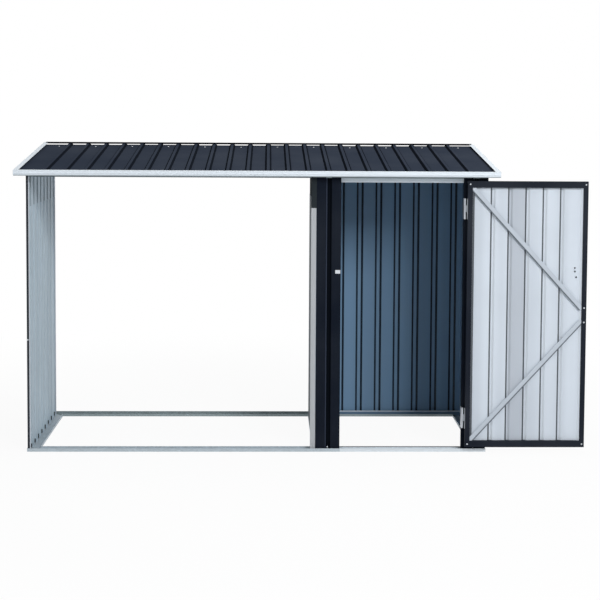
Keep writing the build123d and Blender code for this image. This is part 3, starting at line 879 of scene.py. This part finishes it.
class LOGSTORE_OT_wall_screws(bpy.types.Operator):
    """Put screws along the feet and the upper laps of the walls, one on the left post and one at the foot of
    each pillar"""
    bl_idname = "logstore.wall_screws"
    bl_label = "Wall screws"

    def execute(self, context):
        colours = context.scene.store_colours
        fixings = context.scene.store_fixings
        shapes = Shapes()
        for name, inward in {"left_wall": X, "right_wall": -X, "back_wall": -Y}.items():
            low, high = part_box(name)
            along = Y if inward.x else X
            run = (high - low).dot(along)
            count = round(run / fixings.wall_spacing)
            for index in range(count):
                middle = (low + high) / 2 + along * ((index + 0.5) * run / count - run / 2)
                for z in (high.z - fixings.lap_inset, low.z + fixings.foot_inset):
                    outside = Vector((middle.x, middle.y, z)) - inward * LOOK_FROM
                    place = seat(name, outside, inward)[0]
                    pan_head(shapes, standing(place, -inward, index), fixings)
        for name in ("centre_pillar", "right_pillar"):
            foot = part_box(name)[0].z
            place, normal = front_seat(name, at_width(name, 0.5), foot + fixings.pillar_inset)
            pan_head(shapes, standing(place, normal), fixings)
        post = "left_front_post"
        across, up = 0.3, 0.4
        place, normal = front_seat(post, at_width(post, across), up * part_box(post)[1].z)
        pan_head(shapes, standing(place, normal), fixings)
        shapes.piece("wall_screws", [zinc_plate("wall_screw_plate", colours.zinc)], "shed")
        return {"FINISHED"}


class LOGSTORE_OT_door_screws(bpy.types.Operator):
    """Put screws in the corners of the door's frame and in its free stile over the ends of the braces, and
    the latch's nuts"""
    bl_idname = "logstore.door_screws"
    bl_label = "Door screws and nuts"

    def execute(self, context):
        colours = context.scene.store_colours
        fixings = context.scene.store_fixings
        shapes = Shapes()
        for stile in nodes_named("door_", "_stile"):
            low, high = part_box(stile)
            for z in (low.z + fixings.frame_inset, high.z - fixings.frame_inset):
                place, normal = front_seat(stile, at_width(stile, 0.5), z)
                pan_head(shapes, standing(place, normal, z), fixings)
        stile = "door_free_stile"
        for brace in nodes_named("door_", "_brace"):
            low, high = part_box(brace)
            side = 1 if low.z > middle_of("door_panel").z else -1
            near = low.z if side > 0 else high.z
            place, normal = front_seat(stile, at_width(stile, 0.5), near + side * fixings.lap_inset)
            pan_head(shapes, standing(place, normal, side), fixings)
        handle = middle_of("door_handle")
        for x, z in LATCH_NUTS:
            place = front_seat("door_panel", handle.x + x, handle.z + z)[0]
            bolt_end(shapes, standing(place, -Y, x), fixings, 1)
        plates = [zinc_plate("door_screw_plate", colours.zinc), zinc_plate("nut_plate", colours.dark_steel)]
        shapes.piece("door_screws", plates, "door")
        return {"FINISHED"}


class LOGSTORE_OT_studio(bpy.types.Operator):
    """Lay the floor, hang the lamps and set the camera"""
    bl_idname = "logstore.studio"
    bl_label = "Studio"

    def execute(self, context):
        scene = context.scene
        studio = scene.store_studio
        lay_floor(scene, studio)
        light_air(scene, studio)
        hang_lamp(scene, "key_lamp", place=(3.2, -6.2, 4.4), size=(2.6, 2.2), power=studio.key_power)
        hang_lamp(scene, "fill_lamp", place=(-4.4, -5.0, 3.4), size=(2.6, 2.2), power=studio.fill_power)
        hang_lamp(scene, "top_lamp", place=(1.4, 0.4, 5.4), size=(4.0, 3.0), power=studio.top_power)
        set_camera(scene, studio)
        scene.view_settings.view_transform = "Standard"
        return {"FINISHED"}


def lay_floor(scene, studio):
    """A pale floor that runs out to white, and keeps a soft shadow near the store."""
    half = studio.floor_size / 2
    corners = [(-half, -half, 0), (half, -half, 0), (half, half, 0), (-half, half, 0)]
    mesh = bpy.data.meshes.new("floor")
    mesh.from_pydata(corners, [], [(0, 1, 2, 3)])
    ground = bpy.data.objects.new("floor", mesh)
    scene.collection.objects.link(ground)
    paper = Coat("floor_paper")
    tone = studio.floor_colour
    paper.finished(
        Base_Color=paper.mix(paper.noise(60.0, 4.0) * 0.2, tone, shaded(tone, 0.96)),
        Roughness=0.9,
        Specular_IOR_Level=0.1,
    )
    near, far = 1.6, 4.0
    away = paper.node("VectorMath", {"operation": "LENGTH"}, {0: paper.place}, output="Value")
    white = (1 - studio.shadow) + away.between(near, far) * studio.shadow
    glow = paper.node("Emission", {}, {"Color": (1, 1, 1), "Strength": 1.0})
    lit = Value(paper, paper.surface.outputs[0])
    both = paper.node("MixShader", {}, {0: paper.seen() * white, 1: lit, 2: glow})
    paper.feed(paper.tree.nodes["Material Output"], {"Surface": both})
    mesh.materials.append(paper.owner)


def light_air(scene, studio):
    """Even light all round, which looks white to the camera and in reflections."""
    scene.world = bpy.data.worlds.new("studio_air")
    air = Finish(scene.world)
    strength = studio.ambient + air.seen() * (1 - studio.ambient)
    air.feed(air.tree.nodes["Background"], {"Color": (1, 1, 1), "Strength": strength})


def hang_lamp(scene, name, place, size, power):
    """A flat lamp that shines at the middle of the store."""
    light = bpy.data.lights.new(name, "AREA")
    light.shape = "RECTANGLE"
    light.size, light.size_y = size
    light.energy = power
    lamp = bpy.data.objects.new(name, light)
    lamp.location = place
    low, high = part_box("back_wall")
    target = Vector((0, low.y / 2, high.z / 2))
    lamp.rotation_euler = (target - Vector(place)).to_track_quat("-Z", "Y").to_euler()
    scene.collection.objects.link(lamp)


def set_camera(scene, studio):
    """A camera that stands and looks as the studio's values say."""
    lens = bpy.data.cameras.new("camera")
    lens.lens = studio.lens
    lens.shift_y = studio.shift
    camera = bpy.data.objects.new("camera", lens)
    turn = Matrix.Rotation(-studio.yaw, 4, "Z")
    tilt = Matrix.Rotation(math.pi / 2 - studio.pitch, 4, "X")
    roll = Matrix.Rotation(studio.roll, 4, "Z")
    camera.matrix_world = Matrix.Translation(studio.camera_place) @ turn @ tilt @ roll
    scene.collection.objects.link(camera)
    scene.camera = camera


OPERATORS = (
    LOGSTORE_OT_coat_walls,
    LOGSTORE_OT_coat_frame,
    LOGSTORE_OT_coat_roof,
    LOGSTORE_OT_coat_trims,
    LOGSTORE_OT_finish_channels,
    LOGSTORE_OT_coat_door,
    LOGSTORE_OT_strip_hem,
    LOGSTORE_OT_closet_skirt,
    LOGSTORE_OT_roof_screws,
    LOGSTORE_OT_wall_screws,
    LOGSTORE_OT_door_screws,
    LOGSTORE_OT_studio,
)


class LOGSTORE_PT_panel(bpy.types.Panel):
    """Sizes, colours and steps of the log store"""
    bl_idname = "LOGSTORE_PT_panel"
    bl_label = "Log store"
    bl_space_type = "VIEW_3D"
    bl_region_type = "UI"
    bl_category = "Log store"

    def draw(self, context):
        for name in GROUPS:
            box = self.layout.box()
            group = getattr(context.scene, name)
            for key in group.__annotations__:
                box.prop(group, key)
        for operator in OPERATORS:
            self.layout.operator(operator.bl_idname)


GROUPS = {"store_colours": StoreColours, "store_fixings": StoreFixings, "store_studio": StoreStudio}


def register():
    for made in (*GROUPS.values(), *OPERATORS, LOGSTORE_PT_panel):
        bpy.utils.register_class(made)
    for name, group in GROUPS.items():
        setattr(bpy.types.Scene, name, PointerProperty(type=group))


def unregister():
    for name in GROUPS:
        delattr(bpy.types.Scene, name)
    for made in (LOGSTORE_PT_panel, *reversed(OPERATORS), *GROUPS.values()):
        bpy.utils.unregister_class(made)


def main():
    register()
    for operator in OPERATORS:
        family, name = operator.bl_idname.split(".")
        getattr(getattr(bpy.ops, family), name)()


if __name__ == "__main__":
    main()
